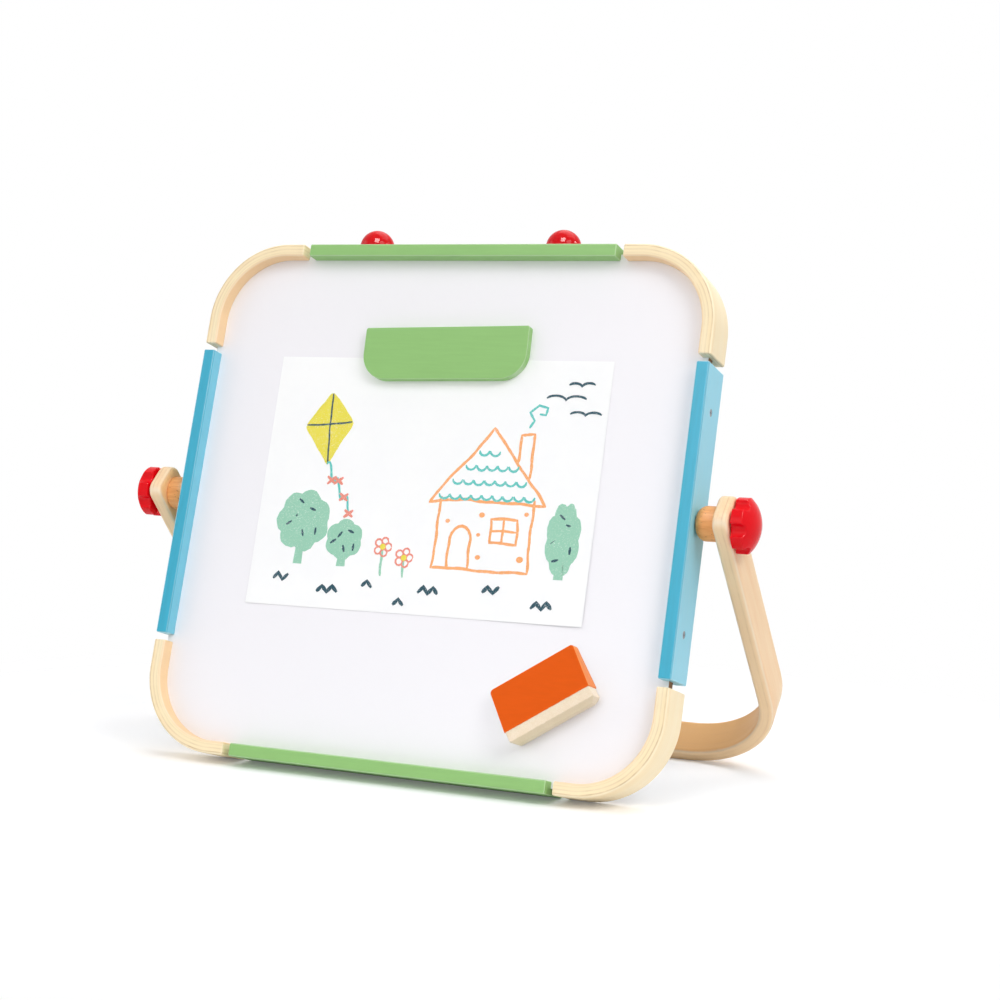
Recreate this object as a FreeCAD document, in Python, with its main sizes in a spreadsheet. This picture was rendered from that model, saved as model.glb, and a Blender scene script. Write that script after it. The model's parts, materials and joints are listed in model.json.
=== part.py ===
# Tabletop whiteboard: a board edged with grooved rails and bentwood corners, hung between the arms
# of a bent plywood stand by two clamp knobs. Millimetres, +X right, +Y back, +Z up, standing on Z = 0.
import FreeCAD
import Part
import Sketcher
import math
import os
import re

SIZES = {
    # Board and its edging
    "board_width": 450,
    "board_height": 431.5,
    "frame_depth": 38.5,
    "rail_thickness": 10.5,
    "rail_edge_radius": 1.5,
    "rail_end_radius": 1.0,
    "joint_gap": 6,
    "corner_radius": 66,
    "corner_top_leg": 15.5,
    "corner_side_leg": 22,
    "corner_edge_radius": 2,
    "groove_depth": 5.4,
    "groove_clearance": 0.1,
    "core_thickness": 8.5,
    "face_sheet_thickness": 0.5,
    "panel_shift": 2.5,
    # Screws through the side rails into the edge of the core
    "screw_end_gap": 36,
    "screw_shift": 1,
    "screw_length": 18,
    "screw_shank_diameter": 2.6,
    "screw_head_diameter": 6.2,
    "screw_head_height": 1.8,
    "screw_tip_length": 3,
    "screw_sink": 0.2,
    "screw_clearance": 0.05,
    "screw_slot_width": 1,
    "screw_slot_length": 3.8,
    "screw_slot_depth": 0.9,
    # Ball pegs on the top rail
    "ball_diameter": 29,
    "ball_rise": 3,
    "ball_end_gap": 53,
    "ball_tenon_diameter": 8,
    "ball_tenon_length": 4.5,
    "tenon_clearance": 0.1,
    # Stand, bent from one plywood strip
    "board_lean": 14.7,
    "leg_length": 278,
    "strip_width": 34,
    "strip_thickness": 13,
    "strip_edge_radius": 3.5,
    "bend_radius": 77,
    "arm_gap": 17,
    "arm_end_reach": 19.5,
    "arm_corner_radius": 10,
    # Pivots: spacer glued in the side rail, threaded insert, bolt moulded into the knob
    "spacer_diameter": 27,
    "spacer_rail_radius": 8,
    "spacer_arm_radius": 0.8,
    "spacer_tenon_diameter": 10,
    "spacer_tenon_length": 5,
    "pivot_gap": 0.2,
    "insert_diameter": 8,
    "insert_length": 12,
    "insert_clearance": 0.05,
    "bolt_diameter": 6,
    "bolt_engagement": 10,
    "bolt_clearance": 0.05,
    "bolt_head_diameter": 10,
    "bolt_head_height": 4,
    "bolt_head_depth": 4,
    "pivot_clearance": 0.08,
    "knob_diameter": 42.5,
    "knob_height": 18.8,
    "knob_collar_diameter": 28,
    "knob_collar_height": 1.2,
    "knob_rim_height": 9,
    "knob_edge_radius": 0.8,
    "knob_lobes": 6,
    "knob_angle": 8,
    "flute_radius": 5.5,
    "flute_depth": 4,
    "flute_edge_radius": 1.2,
    # Sheet of paper, magnetic clip and eraser on the front face
    "paper_width": 297,
    "paper_height": 210,
    "paper_thickness": 0.2,
    "paper_x": -3.6,
    "paper_tuck": 18.5,
    "paper_angle": 0.45,
    "magnet_gap": 0.1,
    "magnet_clearance": 0.05,
    "clip_width": 146,
    "clip_height": 44,
    "clip_thickness": 6.5,
    "clip_top_radius": 2,
    "clip_bottom_radius": 22,
    "clip_edge_radius": 0.8,
    "clip_x": -1.5,
    "clip_drop": 90.8,
    "clip_angle": 1.7,
    "clip_magnet_diameter": 14,
    "clip_magnet_thickness": 2.5,
    "clip_magnet_spacing": 92,
    "eraser_length": 75.6,
    "eraser_width": 37.4,
    "eraser_thickness": 17,
    "eraser_top_thickness": 8,
    "eraser_corner_radius": 3.2,
    "eraser_edge_radius": 0.8,
    "eraser_from_side": 103,
    "eraser_from_bottom": 78.1,
    "eraser_angle": 33.8,
    "eraser_magnet_diameter": 20,
    "eraser_magnet_thickness": 2.5,
    "felt_height": 12.4,
    "felt_inset": 0.6,
    "felt_chamfer": 4.2,
    # Length by which a cutting outline runs past the face that it enters
    "cut_overrun": 1,
}

FORMULAS = {
    "panel_thickness": "core_thickness + 2 * face_sheet_thickness",
    "panel_inset": "rail_thickness - groove_depth + groove_clearance",
    "corner_end_x": "board_width / 2 - corner_radius - corner_top_leg",
    "corner_end_z": "board_height / 2 - corner_radius - corner_side_leg",
    "top_rail_length": "2 * (corner_end_x - joint_gap)",
    "side_rail_length": "2 * (corner_end_z - joint_gap)",
    "screw_spacing": "side_rail_length - 2 * screw_end_gap",
    "ball_spacing": "top_rail_length - 2 * ball_end_gap",
    "arm_inner": "board_width / 2 + arm_gap",
    "arm_outer": "arm_inner + strip_thickness",
    "spacer_end": "arm_inner - pivot_gap",
    "knob_seat": "arm_outer + pivot_gap",
    "bolt_head_seat": "knob_seat + bolt_head_depth",
    "rim_foot": "knob_seat + knob_collar_height",
    "rim_end": "rim_foot + knob_rim_height",
    "dome_rise": "knob_seat + knob_height - rim_end",
    "dome_radius": "((knob_diameter / 2) ^ 2 + dome_rise ^ 2) / (2 * dome_rise)",
    "ball_foot": "sqrt((ball_diameter / 2) ^ 2 - ball_rise ^ 2)",
    "groove_half": "panel_thickness / 2 + groove_clearance",
    "front_face": "panel_thickness / 2 + panel_shift",
    "clip_seat": "front_face + paper_thickness + magnet_gap",
    "clip_z": "board_height / 2 - clip_drop",
    "paper_z": "clip_z - clip_height / 2 + paper_tuck - paper_height / 2",
    "eraser_seat": "front_face + paper_thickness + magnet_gap",
    "eraser_x": "board_width / 2 - eraser_from_side",
    "eraser_z": "eraser_from_bottom - board_height / 2",
    # The board stands on the rounded rear edge of its bottom rail, the stand on the front edge of its bar
    "edge_reach_y": "frame_depth / 2 - rail_edge_radius",
    "edge_reach_z": "board_height / 2 - rail_edge_radius",
    "pivot_height": "edge_reach_y * sin(board_lean) + edge_reach_z * cos(board_lean) + rail_edge_radius",
    "bar_reach_y": "strip_width / 2 - strip_edge_radius",
    "bar_reach_z": "leg_length - strip_edge_radius",
    "bar_reach": "sqrt(bar_reach_y ^ 2 + bar_reach_z ^ 2)",
    "bar_offset": "atan(bar_reach_y / bar_reach_z)",
    "leg_lean": "(bar_offset + acos((pivot_height - strip_edge_radius) / bar_reach)) / 1deg",
    "front_reach": "edge_reach_y * cos(board_lean) + edge_reach_z * sin(board_lean) + rail_edge_radius",
    "rear_reach": "bar_reach_z * sin(leg_lean) + bar_reach_y * cos(leg_lean) + strip_edge_radius",
    "pivot_y": "(front_reach - rear_reach) / 2",
}

doc = FreeCAD.newDocument("whiteboard")
sheet = doc.addObject("Spreadsheet::Sheet", "Dims")
for row, (alias, value) in enumerate(SIZES.items(), start=1):
    sheet.set(f"A{row}", alias)
    sheet.set(f"B{row}", str(value))
    sheet.setAlias(f"B{row}", alias)
for row, (alias, formula) in enumerate(FORMULAS.items(), start=len(SIZES) + 1):
    sheet.set(f"A{row}", alias)
    sheet.set(f"B{row}", "=" + formula)
    sheet.setAlias(f"B{row}", alias)
doc.recompute()

ALIASES = set(SIZES) | set(FORMULAS)
SIDES = {"left": -1, "right": 1}
LEVELS = {"bottom": -1, "top": 1}
subparts = []


# Expressions and frames

def bound(expression):
    """The expression with each size's name pointing at its cell."""
    return re.sub(r"[a-z_]+", lambda word: f"Dims.{word[0]}" if word[0] in ALIASES else word[0], expression)


def number(expression):
    """The present value of an expression."""
    value = sheet.evalExpression(expression)
    return float(getattr(value, "Value", value))


def signed(side, expression):
    return f"{side} * ({expression})"


BOARD_FRAME = bound("placement(vector(0; pivot_y; pivot_height); rotationx(-board_lean))")
STAND_FRAME = bound("placement(vector(0; pivot_y; pivot_height); rotationx(leg_lean))")


def face_frame(piece):
    """Frame of a piece that lies on the board's front: its own spot and turn in the plane of the face."""
    spot = bound(f"placement(vector({piece}_x; 0; {piece}_z); rotationy(-{piece}_angle))")
    return f"{BOARD_FRAME} * {spot}"


# Sketches and features

def new_body(label, frame=None):
    """A body in its frame. A body without a frame is a piece of a compound."""
    body = doc.addObject("PartDesign::Body", label)
    body.Label = label
    if frame:
        body.setExpression("Placement", frame)
        subparts.append(body)
    return body


def new_sketch(body, name, plane, offset="0", shift="0", rise="0"):
    """A sketch on an origin plane, moved along the plane's normal and along the sketch's own x and y axes."""
    sketch = body.newObject("Sketcher::SketchObject", name)
    support = next(part for part in body.Origin.OriginFeatures if part.Role == plane)
    sketch.AttachmentSupport = [(support, "")]
    sketch.MapMode = "FlatFace"
    sketch.setExpression("AttachmentOffset.Base.z", bound(offset))
    sketch.setExpression("AttachmentOffset.Base.x", bound(shift))
    sketch.setExpression("AttachmentOffset.Base.y", bound(rise))
    return sketch


def drive(sketch, kind, place, expression):
    """A dimension of the sketch that follows an expression."""
    index = sketch.addConstraint(Sketcher.Constraint(kind, *place, number(expression)))
    sketch.setExpression(f"Constraints[{index}]", bound(expression))


def stretch(start, end, radius, turn):
    """A line, or an arc with its radius and turn (+1 anticlockwise), and the vertex numbers of its ends."""
    if radius is None:
        return Part.LineSegment(start, end), 1, 2
    chord = end - start
    left = FreeCAD.Vector(-chord.y, chord.x, 0).normalize()
    size = number(radius)
    centre = (start + end) * 0.5 + left * (turn * math.sqrt(size ** 2 - chord.Length ** 2 / 4))
    first, last = (start, end) if turn > 0 else (end, start)
    angles = [math.atan2(spot.y - centre.y, spot.x - centre.x) for spot in (first, last)]
    circle = Part.Circle(centre, FreeCAD.Vector(0, 0, 1), size)
    return Part.ArcOfCircle(circle, *angles), *((1, 2) if turn > 0 else (2, 1))


def draw(sketch, points, closed=True):
    """An outline through points (x, y), or (x, y, radius, turn) where the stretch to the point is an arc."""
    spots = [FreeCAD.Vector(number(point[0]), number(point[1]), 0) for point in points]
    stretches = []
    for index in range(0 if closed else 1, len(points)):
        radius, turn = (points[index][2:] or (None, 0))
        shape, first, last = stretch(spots[index - 1], spots[index], radius, turn)
        geometry = sketch.addGeometry(shape)
        stretches.append((geometry, first, last))
        if radius is not None:
            drive(sketch, "Radius", (geometry,), radius)
    for index, (geometry, first, last) in enumerate(stretches):
        point = points[index if closed else index + 1]
        drive(sketch, "DistanceX", (-1, 1, geometry, last), point[0])
        drive(sketch, "DistanceY", (-1, 1, geometry, last), point[1])
        before = stretches[index - 1]
        if closed or index > 0:
            sketch.addConstraint(Sketcher.Constraint("Coincident", before[0], before[2], geometry, first))
        else:
            drive(sketch, "DistanceX", (-1, 1, geometry, first), points[0][0])
            drive(sketch, "DistanceY", (-1, 1, geometry, first), points[0][1])
    return sketch


def draw_circle(sketch, x, y, diameter):
    centre = FreeCAD.Vector(number(x), number(y), 0)
    circle = Part.Circle(centre, FreeCAD.Vector(0, 0, 1), number(diameter) / 2)
    geometry = sketch.addGeometry(circle)
    drive(sketch, "DistanceX", (-1, 1, geometry, 3), x)
    drive(sketch, "DistanceY", (-1, 1, geometry, 3), y)
    drive(sketch, "Diameter", (geometry,), diameter)
    return sketch


def feature(body, kind, sketch, **values):
    made = body.newObject(f"PartDesign::{kind}", kind.lower())
    made.Profile = sketch
    for name, value in values.items():
        setattr(made, name, value)
    return made


def pad(body, sketch, length, **values):
    made = feature(body, "Pad", sketch, **values)
    made.setExpression("Length", bound(length))
    return made


def pocket(body, sketch, depth, **values):
    made = feature(body, "Pocket", sketch, **values)
    made.setExpression("Length", bound(depth))
    return made


def drill_through(body, sketch):
    return feature(body, "Pocket", sketch, Type="ThroughAll", SideType="Symmetric")


def turned(body, kind, sketch, axis="H_Axis"):
    return feature(body, kind, sketch, ReferenceAxis=(sketch, [axis]), Angle=360)


def soften(body, radius, chosen, kind="Fillet", size="Radius"):
    """Rounds or bevels the edges of the body's last feature that the test chooses."""
    doc.recompute()
    base = body.Tip
    numbered = enumerate(base.Shape.Edges, start=1)
    edges = [f"Edge{index}" for index, edge in numbered if chosen(edge, base.Shape)]
    made = body.newObject(f"PartDesign::{kind}", kind.lower())
    made.Base = (base, edges)
    made.setExpression(size, bound(radius))
    return made


def is_sharp(edge, shape):
    """Whether the two faces at an edge meet at a marked angle."""
    middle = edge.valueAt((edge.FirstParameter + edge.LastParameter) / 2)
    faces = shape.ancestorsOfType(edge, Part.Face)
    normals = [face.normalAt(*face.Surface.parameter(middle)) for face in faces]
    return len(normals) == 2 and normals[0].getAngle(normals[1]) > math.radians(30)


def spans(edge, axis, low, high, slack=1e-4):
    """Whether an edge lies between two coordinates along an axis."""
    box = edge.BoundBox
    start, end = (getattr(box, axis + limit) for limit in ("Min", "Max"))
    return start > low - slack and end < high + slack


def runs_along(edge, axis):
    """Whether an edge is a straight line along an axis."""
    sizes = {name: getattr(edge.BoundBox, name + "Length") for name in "XYZ"}
    return sizes.pop(axis) > max(sizes.values()) and edge.Curve.TypeId == "Part::GeomLine"


# Outlines shared by several pieces

def rectangle(half_width, half_height):
    return [(signed(side_x, half_width), signed(side_y, half_height))
            for side_x, side_y in ((-1, -1), (1, -1), (1, 1), (-1, 1))]


def rounded_rectangle(half_width, half_height, radius):
    points = []
    for side_x, side_y, upright in ((1, -1, True), (1, 1, False), (-1, 1, True), (-1, -1, False)):
        near_x = signed(side_x, f"{half_width} - {radius}")
        near_y = signed(side_y, f"{half_height} - {radius}")
        far_x = signed(side_x, half_width)
        far_y = signed(side_y, half_height)
        ends = [(near_x, far_y), (far_x, near_y)]
        if not upright:
            ends.reverse()
        points += [ends[0], (*ends[1], radius, 1)]
    return points


def grooved_section(outer, radius, place, turn):
    """Section of the edging: rounded bar with the panel's groove in its inner face. The outer face lies at
    the given distance from the board's middle, and place turns (outward, across) into sketch coordinates."""
    inner = f"({outer} - rail_thickness)"
    floor = f"({inner} + groove_depth)"
    half = "frame_depth / 2"
    rear_lip = "(groove_half - panel_shift)"
    front_lip = "-(groove_half + panel_shift)"
    corner = (radius, turn)
    return [
        (*place(outer, f"{half} - {radius}"),),
        (*place(f"{outer} - {radius}", half), *corner),
        (*place(f"{inner} + {radius}", half),),
        (*place(inner, f"{half} - {radius}"), *corner),
        (*place(inner, rear_lip),),
        (*place(floor, rear_lip),),
        (*place(floor, front_lip),),
        (*place(inner, front_lip),),
        (*place(inner, f"-({half} - {radius})"),),
        (*place(f"{inner} + {radius}", f"-{half}"), *corner),
        (*place(f"{outer} - {radius}", f"-{half}"),),
        (*place(outer, f"-({half} - {radius})"), *corner),
    ]


def screw_section(side, clearance="0", mouth=None):
    """Half section of a countersunk screw about its axis, its head just under the side rail's face. A hole
    for it has a clearance all round and a mouth that runs out past the face."""
    head = "board_width / 2 - screw_sink"
    shank = f"screw_shank_diameter / 2 + {clearance}"
    rim = f"screw_head_diameter / 2 + {clearance}"
    tip = f"{head} - screw_length"
    top = f"{head} + {mouth}" if mouth else head
    points = [(top, "0"), (top, rim)] if mouth else [(top, "0")]
    points += [
        (head, rim),
        (f"{head} - screw_head_height", shank),
        (f"{tip} + screw_tip_length", shank),
        (f"{tip} - {clearance}", "0"),
    ]
    return [(signed(side, x), y) for x, y in points]


# Board

def board_layer(label, thickness, offset):
    """One layer of the panel, its back at an offset towards the front from the panel's middle."""
    body = new_body(label, BOARD_FRAME)
    half_width = "(board_width / 2 - panel_inset)"
    half_height = "(board_height / 2 - panel_inset)"
    outline = new_sketch(body, "panel_outline", "XZ_Plane", f"panel_shift + {offset}")
    draw(outline, rounded_rectangle(half_width, half_height, "(corner_radius - panel_inset)"))
    pad(body, outline, thickness)
    return body


def drill_screw_holes(body, side):
    for level in LEVELS.values():
        middle = signed(level, "screw_spacing / 2")
        hole = new_sketch(body, "screw_hole", "XY_Plane", middle, rise="-screw_shift")
        draw(hole, screw_section(side, "screw_clearance", "cut_overrun"))
        turned(body, "Groove", hole)


core = board_layer("core_panel", "core_thickness", "-core_thickness / 2")
for side in SIDES.values():
    drill_screw_holes(core, side)
board_layer("whiteboard_sheet", "face_sheet_thickness", "core_thickness / 2")
board_layer("chalkboard_sheet", "face_sheet_thickness", "-core_thickness / 2 - face_sheet_thickness")


# Edging

def round_ends(body, axis, ends):
    """Eases the end faces of a straight rail or bentwood leg, leaving the groove crisp."""
    front_lip = number("-(groove_half + panel_shift)")
    rear_lip = number("groove_half - panel_shift")

    def on_end(edge, shape):
        in_groove = spans(edge, "Y", front_lip, rear_lip)
        return not in_groove and any(spans(edge, axis, end, end) for end in ends)

    soften(body, "rail_end_radius", on_end)


for name, level in LEVELS.items():
    rail = new_body(f"{name}_rail", BOARD_FRAME)
    section = new_sketch(rail, "rail_section", "YZ_Plane")
    draw(section, grooved_section("board_height / 2", "rail_edge_radius",
                                  lambda out, across: (across, signed(level, out)), -level))
    pad(rail, section, "top_rail_length", SideType="Symmetric")
    rail_end = number("top_rail_length / 2")
    round_ends(rail, "X", (-rail_end, rail_end))
    if name == "top":
        sockets = new_sketch(rail, "ball_sockets", "XY_Plane", "board_height / 2")
        for side in SIDES.values():
            draw_circle(sockets, signed(side, "ball_spacing / 2"), "0",
                        "ball_tenon_diameter + 2 * tenon_clearance")
        pocket(rail, sockets, "ball_tenon_length + tenon_clearance")

for name, side in SIDES.items():
    rail = new_body(f"{name}_rail", BOARD_FRAME)
    section = new_sketch(rail, "rail_section", "XY_Plane")
    draw(section, grooved_section("board_width / 2", "rail_edge_radius",
                                  lambda out, across: (signed(side, out), across), side))
    pad(rail, section, "side_rail_length", SideType="Symmetric")
    rail_end = number("side_rail_length / 2")
    round_ends(rail, "Z", (-rail_end, rail_end))
    socket = new_sketch(rail, "spacer_socket", "YZ_Plane", signed(side, "board_width / 2"))
    draw_circle(socket, "0", "0", "spacer_tenon_diameter + 2 * tenon_clearance")
    pocket(rail, socket, "spacer_tenon_length + tenon_clearance", Reversed=side < 0)
    drill_screw_holes(rail, side)

for level_name, level in LEVELS.items():
    for side_name, side in SIDES.items():
        corner = new_body(f"corner_{level_name}_{side_name}", BOARD_FRAME)
        section = new_sketch(corner, "strip_section", "YZ_Plane", signed(side, "corner_end_x"))
        draw(section, grooved_section("board_height / 2", "corner_edge_radius",
                                      lambda out, across: (across, signed(level, out)), -level))
        bend = new_sketch(corner, "bend_path", "XZ_Plane")
        draw(bend, [
            (signed(side, "corner_end_x"), signed(level, "board_height / 2")),
            (signed(side, "board_width / 2 - corner_radius"), signed(level, "board_height / 2")),
            (signed(side, "board_width / 2"), signed(level, "board_height / 2 - corner_radius"),
             "corner_radius", -side * level),
            (signed(side, "board_width / 2"), signed(level, "corner_end_z")),
        ], closed=False)
        feature(corner, "AdditivePipe", section, Spine=(bend, ["Edge1", "Edge2", "Edge3"]))
        round_ends(corner, "X", (side * number("corner_end_x"),))
        round_ends(corner, "Z", (level * number("corner_end_z"),))

screws = doc.addObject("Part::Compound", "side_rail_screws")
screws.Label = "side_rail_screws"
screw_bodies = []
for side in SIDES.values():
    for level in LEVELS.values():
        screw = new_body("screw")
        middle = signed(level, "screw_spacing / 2")
        outline = new_sketch(screw, "screw_outline", "XY_Plane", middle, rise="-screw_shift")
        draw(outline, screw_section(side))
        turned(screw, "Revolution", outline)
        for along, across in (("length", "width"), ("width", "length")):
            half_y = f"screw_slot_{along} / 2"
            half_z = f"screw_slot_{across} / 2"
            slot = new_sketch(screw, "driver_slot", "YZ_Plane", signed(side, "board_width / 2 - screw_sink"),
                              "-screw_shift", middle)
            draw(slot, rectangle(half_y, half_z))
            pocket(screw, slot, "screw_slot_depth", Reversed=side < 0)
        screw_bodies.append(screw)
screws.Links = screw_bodies
screws.setExpression("Placement", BOARD_FRAME)
subparts.append(screws)


# Ball pegs

for name, side in SIDES.items():
    ball = new_body(f"{name}_ball", BOARD_FRAME)
    outline = new_sketch(ball, "ball_outline", "XZ_Plane", shift=signed(side, "ball_spacing / 2"))
    draw(outline, [
        ("0", "board_height / 2 - ball_tenon_length"),
        ("ball_tenon_diameter / 2", "board_height / 2 - ball_tenon_length"),
        ("ball_tenon_diameter / 2", "board_height / 2"),
        ("ball_foot", "board_height / 2"),
        ("ball_diameter / 2", "board_height / 2 + ball_rise", "ball_diameter / 2", 1),
        ("0", "board_height / 2 + ball_rise + ball_diameter / 2", "ball_diameter / 2", 1),
    ])
    turned(ball, "Revolution", outline, "V_Axis")


# Stand

stand = new_body("stand_bow", STAND_FRAME)
bow = new_sketch(stand, "bow_outline", "XZ_Plane")
OUTER_BEND = "(bend_radius + strip_thickness)"
BAR_TOP = "(strip_thickness - leg_length)"
draw(bow, [
    ("arm_outer", "arm_end_reach"),
    ("arm_outer", f"{OUTER_BEND} - leg_length"),
    (f"arm_outer - {OUTER_BEND}", "-leg_length", OUTER_BEND, -1),
    (f"{OUTER_BEND} - arm_outer", "-leg_length"),
    ("-arm_outer", f"{OUTER_BEND} - leg_length", OUTER_BEND, -1),
    ("-arm_outer", "arm_end_reach"),
    ("-arm_inner", "arm_end_reach"),
    ("-arm_inner", f"{BAR_TOP} + bend_radius"),
    ("bend_radius - arm_inner", BAR_TOP, "bend_radius", 1),
    ("arm_inner - bend_radius", BAR_TOP),
    ("arm_inner", f"{BAR_TOP} + bend_radius", "bend_radius", 1),
    ("arm_inner", "arm_end_reach"),
])
pad(stand, bow, "strip_width", SideType="Symmetric")
arm_top = number("arm_end_reach")
half_strip = number("strip_width / 2")
soften(stand, "arm_corner_radius", lambda edge, shape: spans(edge, "Z", arm_top, arm_top)
       and (spans(edge, "Y", half_strip, half_strip) or spans(edge, "Y", -half_strip, -half_strip)))
soften(stand, "strip_edge_radius", is_sharp)
pivot_hole = new_sketch(stand, "pivot_hole", "YZ_Plane")
draw_circle(pivot_hole, "0", "0", "bolt_diameter + 2 * pivot_clearance")
drill_through(stand, pivot_hole)


# Pivots and knobs

def pivot_piece(label, side, points):
    """A turned piece on the pivot axis. Its half section is drawn clockwise for the right-hand side."""
    body = new_body(label, BOARD_FRAME)
    outline = new_sketch(body, "half_section", "XY_Plane")
    mirrored = [(signed(side, x), y, *((arc[0], arc[1] * side) if arc else ())) for x, y, *arc in points]
    draw(outline, mirrored)
    turned(body, "Revolution", outline)
    return body


for name, side in SIDES.items():
    rail_face = "board_width / 2"
    spacer_radius = "spacer_diameter / 2"
    insert_bore = "insert_diameter / 2 + insert_clearance"
    insert_floor = "spacer_end - insert_length - insert_clearance"
    pivot_piece(f"{name}_pivot_spacer", side, [
        (f"{rail_face} - spacer_tenon_length", "0"),
        (f"{rail_face} - spacer_tenon_length", "spacer_tenon_diameter / 2"),
        (rail_face, "spacer_tenon_diameter / 2"),
        (rail_face, f"{spacer_radius} - spacer_rail_radius"),
        (f"{rail_face} + spacer_rail_radius", spacer_radius, "spacer_rail_radius", -1),
        ("spacer_end - spacer_arm_radius", spacer_radius),
        ("spacer_end", f"{spacer_radius} - spacer_arm_radius", "spacer_arm_radius", -1),
        ("spacer_end", insert_bore),
        (insert_floor, insert_bore),
        (insert_floor, "0"),
    ])
    pivot_piece(f"{name}_threaded_insert", side, [
        ("spacer_end - insert_length", "bolt_diameter / 2 + bolt_clearance"),
        ("spacer_end - insert_length", "insert_diameter / 2"),
        ("spacer_end", "insert_diameter / 2"),
        ("spacer_end", "bolt_diameter / 2 + bolt_clearance"),
    ])
    head_end = "bolt_head_seat + bolt_head_height"
    pivot_piece(f"{name}_clamp_bolt", side, [
        ("spacer_end - bolt_engagement", "0"),
        ("spacer_end - bolt_engagement", "bolt_diameter / 2"),
        ("bolt_head_seat", "bolt_diameter / 2"),
        ("bolt_head_seat", "bolt_head_diameter / 2"),
        (head_end, "bolt_head_diameter / 2"),
        (head_end, "0"),
    ])
    rim = "knob_diameter / 2"
    knob = pivot_piece(f"{name}_knob", side, [
        ("knob_seat", "bolt_diameter / 2 + bolt_clearance"),
        ("knob_seat", "knob_collar_diameter / 2"),
        ("rim_foot", "knob_collar_diameter / 2"),
        ("rim_foot", rim),
        ("rim_end", rim),
        ("knob_seat + knob_height", "0", "dome_radius", -1),
        (f"{head_end} + bolt_clearance", "0"),
        (f"{head_end} + bolt_clearance", "bolt_head_diameter / 2 + bolt_clearance"),
        ("bolt_head_seat - bolt_clearance", "bolt_head_diameter / 2 + bolt_clearance"),
        ("bolt_head_seat - bolt_clearance", "bolt_diameter / 2 + bolt_clearance"),
    ])
    flute = new_sketch(knob, "flute", "YZ_Plane")
    flute_reach = f"({rim} - flute_depth + flute_radius)"
    draw_circle(flute, signed(side, f"{flute_reach} * sin(knob_angle)"), f"{flute_reach} * cos(knob_angle)",
                "2 * flute_radius")
    cut = drill_through(knob, flute)
    pattern = knob.newObject("PartDesign::PolarPattern", "flutes")
    pattern.Originals = [cut]
    pattern.Axis = (next(part for part in knob.Origin.OriginFeatures if part.Role == "X_Axis"), [""])
    pattern.Angle = 360
    pattern.setExpression("Occurrences", "Dims.knob_lobes")
    knob.Tip = pattern
    soften(knob, "flute_edge_radius", lambda edge, shape: is_sharp(edge, shape) and runs_along(edge, "X"))
    collar = number("knob_collar_diameter / 2")
    soften(knob, "knob_edge_radius", lambda edge, shape: is_sharp(edge, shape)
           and not (spans(edge, "Y", -collar, collar) and spans(edge, "Z", -collar, collar)))


# Sheet of paper, clip and eraser

paper = doc.addObject("Part::Box", "paper_sheet")
paper.Label = "paper_sheet"
paper.setExpression("Length", "Dims.paper_width")
paper.setExpression("Width", "Dims.paper_thickness")
paper.setExpression("Height", "Dims.paper_height")
paper_corner = bound("placement(vector(-paper_width / 2; -front_face - paper_thickness; -paper_height / 2); "
                     "rotationx(0))")
paper.setExpression("Placement", f"{face_frame('paper')} * {paper_corner}")
subparts.append(paper)


def face_plate(label, piece, seat, thickness, points, edge_radius):
    """A plate whose back lies at a seat in front of the board, with eased front edges."""
    body = new_body(label, face_frame(piece))
    outline = new_sketch(body, "plate_outline", "XZ_Plane", seat)
    draw(outline, points)
    pad(body, outline, thickness)
    front = -number(f"{seat} + {thickness}")
    soften(body, edge_radius, lambda edge, shape: spans(edge, "Y", front, front))
    return body


def sink_magnets(plate, piece, spots):
    """Pockets for the magnets in the plate's back."""
    recess = new_sketch(plate, "magnet_recess", "XZ_Plane", f"{piece}_seat")
    for spot in spots:
        draw_circle(recess, spot, "0", f"{piece}_magnet_diameter + 2 * magnet_clearance")
    pocket(plate, recess, f"{piece}_magnet_thickness + magnet_clearance", Reversed=True)


def magnet(piece, spot, frame=None, label="magnet"):
    disc = new_body(label, frame)
    outline = new_sketch(disc, "magnet_outline", "XZ_Plane", f"{piece}_seat")
    draw_circle(outline, spot, "0", f"{piece}_magnet_diameter")
    pad(disc, outline, f"{piece}_magnet_thickness")
    return disc


clip_half = "clip_width / 2"
clip_top = "clip_height / 2"
clip = face_plate("clip_plate", "clip", "clip_seat", "clip_thickness", [
    (f"{clip_half} - clip_bottom_radius", f"-{clip_top}"),
    (clip_half, f"clip_bottom_radius - {clip_top}", "clip_bottom_radius", 1),
    (clip_half, f"{clip_top} - clip_top_radius"),
    (f"{clip_half} - clip_top_radius", clip_top, "clip_top_radius", 1),
    (f"clip_top_radius - {clip_half}", clip_top),
    (f"-{clip_half}", f"{clip_top} - clip_top_radius", "clip_top_radius", 1),
    (f"-{clip_half}", f"clip_bottom_radius - {clip_top}"),
    (f"clip_bottom_radius - {clip_half}", f"-{clip_top}", "clip_bottom_radius", 1),
], "clip_edge_radius")
clip_spots = [signed(side, "clip_magnet_spacing / 2") for side in SIDES.values()]
sink_magnets(clip, "clip", clip_spots)
clip_magnets = doc.addObject("Part::Compound", "clip_magnets")
clip_magnets.Label = "clip_magnets"
clip_magnets.Links = [magnet("clip", spot) for spot in clip_spots]
clip_magnets.setExpression("Placement", face_frame("clip"))
subparts.append(clip_magnets)

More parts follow.
